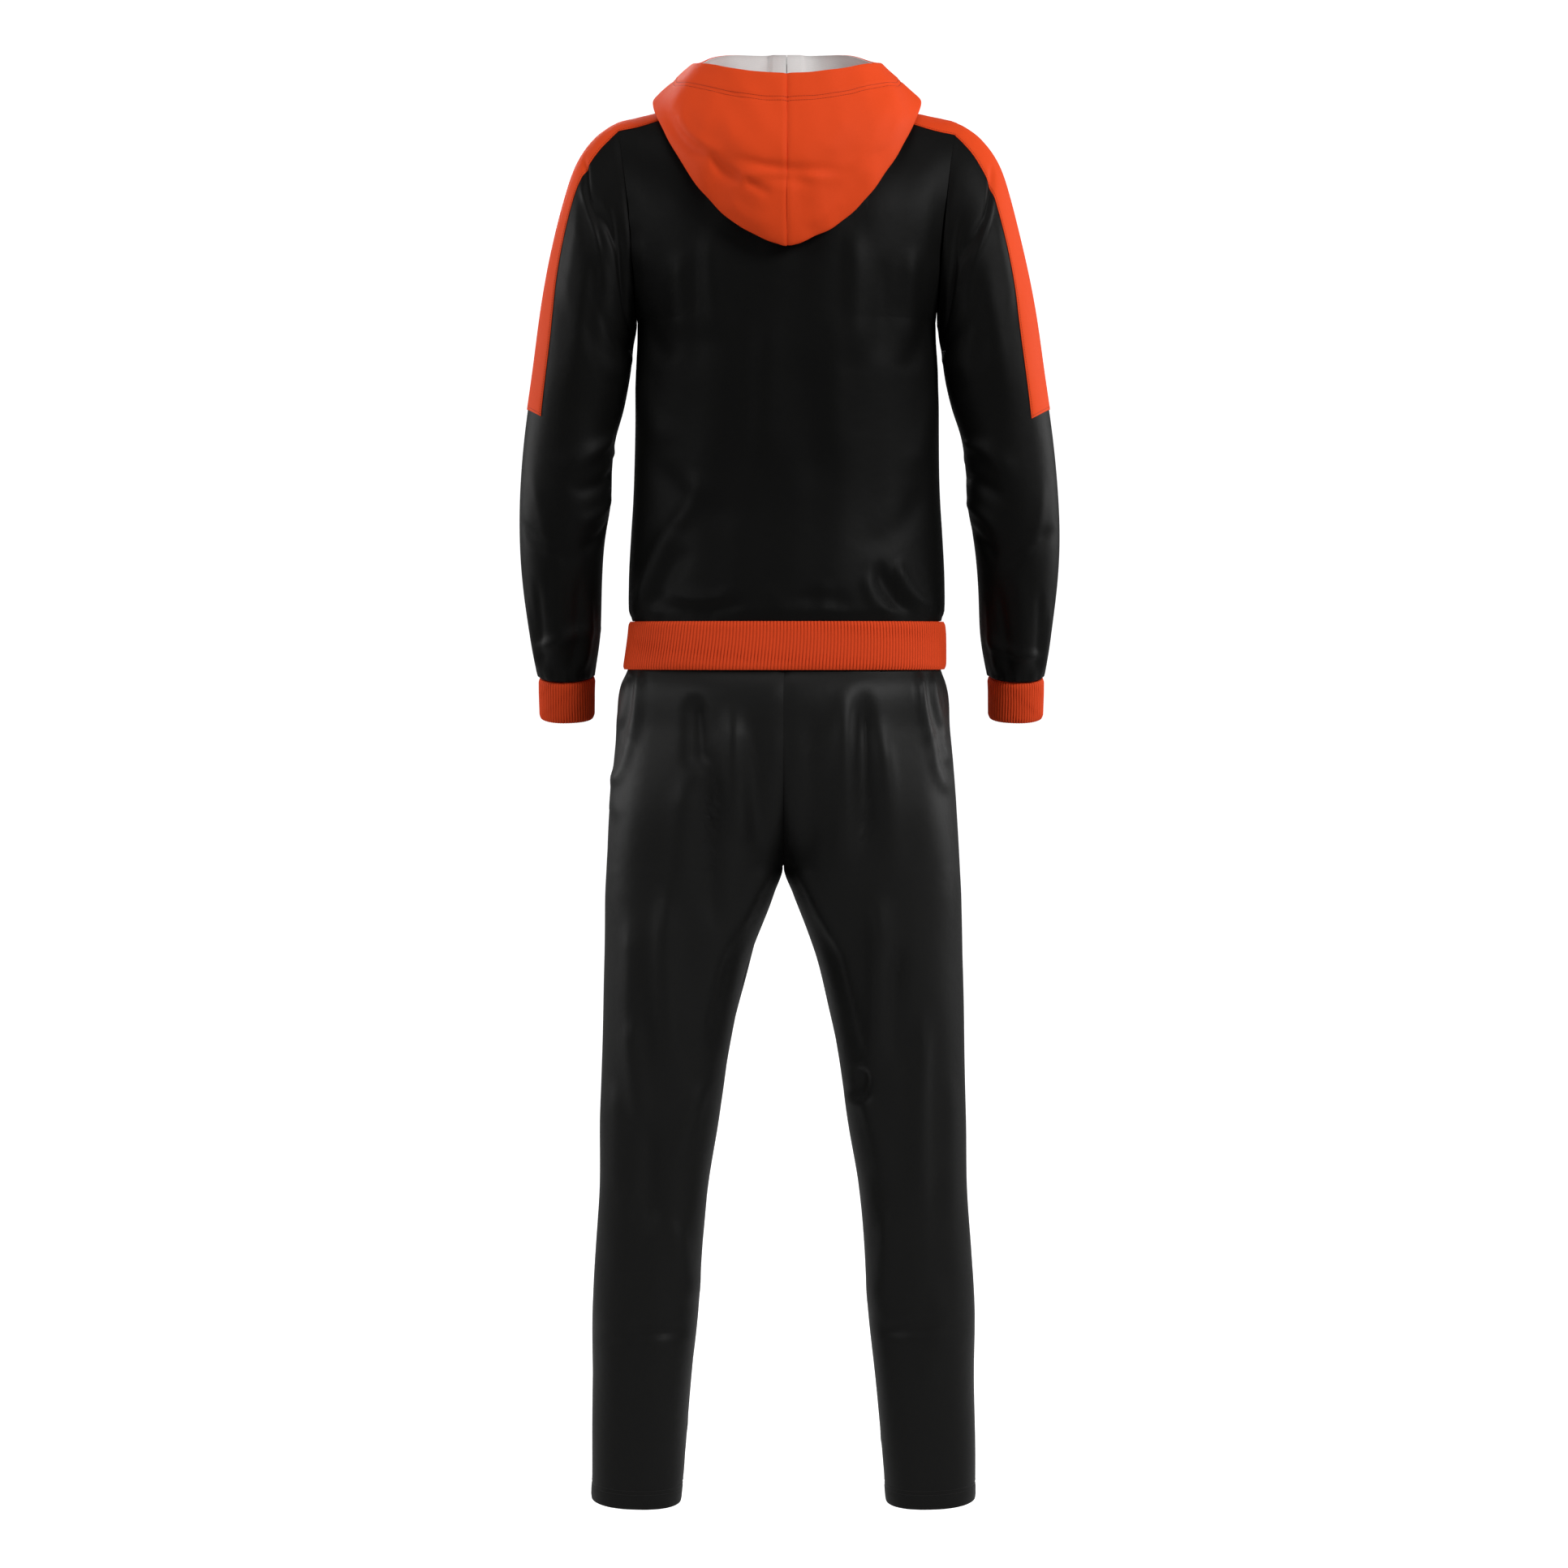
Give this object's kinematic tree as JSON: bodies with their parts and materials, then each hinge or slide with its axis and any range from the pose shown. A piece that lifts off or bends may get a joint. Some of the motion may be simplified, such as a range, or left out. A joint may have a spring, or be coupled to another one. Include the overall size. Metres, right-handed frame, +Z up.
{
  "type": "hooded zip tracksuit",
  "caption": "Worn tracksuit of a hooded, zipped jacket with shoulder stripes and ribbed cuffs and waistband, over tapered trousers, hollow and open at neck and hems.",
  "frame": {"origin": "middle of the neck's base, on the line of the two shoulders, where the wearer carries the jacket", "axes": "+Z up the standing wearer, -Y out of the front, +X to the wearer's left"},
  "size_m": [0.6146, 0.27, 1.662],
  "materials": {
    "black_tricot": "soft sheen",
    "charcoal_tricot": "soft sheen",
    "orange_tricot": "matte",
    "orange_rib": "matte ribbed knit",
    "pale_lining": "matte",
    "zip_tape": "woven",
    "zip_teeth": "moulded",
    "zip_metal": "satin"
  },
  "bodies": {
    "tracksuit": {"jacket_back": "black_tricot", "jacket_front_left": "black_tricot", "jacket_front_right": "black_tricot", "sleeve_left": "black_tricot", "sleeve_right": "black_tricot", "stripe_left": "orange_tricot", "cuff_left": "orange_rib", "hood_left": "orange_tricot", "hood_lining_left": "pale_lining", "zip_tape_left": "zip_tape", "trouser_back_left": "charcoal_tricot", "trouser_front_left": "charcoal_tricot", "stripe_right": "orange_tricot", "cuff_right": "orange_rib", "hood_right": "orange_tricot", "hood_lining_right": "pale_lining", "zip_tape_right": "zip_tape", "trouser_back_right": "charcoal_tricot", "trouser_front_right": "charcoal_tricot", "jacket_waistband": "orange_rib", "trouser_waistband": "charcoal_tricot", "zip_chain": "zip_teeth", "zip_slider": "zip_metal"},
    "pull_tab": {"zip_pull_tab": "zip_metal"}
  },
  "joints": [
    {"name": "pull_tab_hinge", "type": "hinge", "parent": "tracksuit", "child": "pull_tab", "pos_m": [0, -0.09101, 0.058], "axis": [-1, 0, 0], "range_deg": [0, 150]}
  ]
}
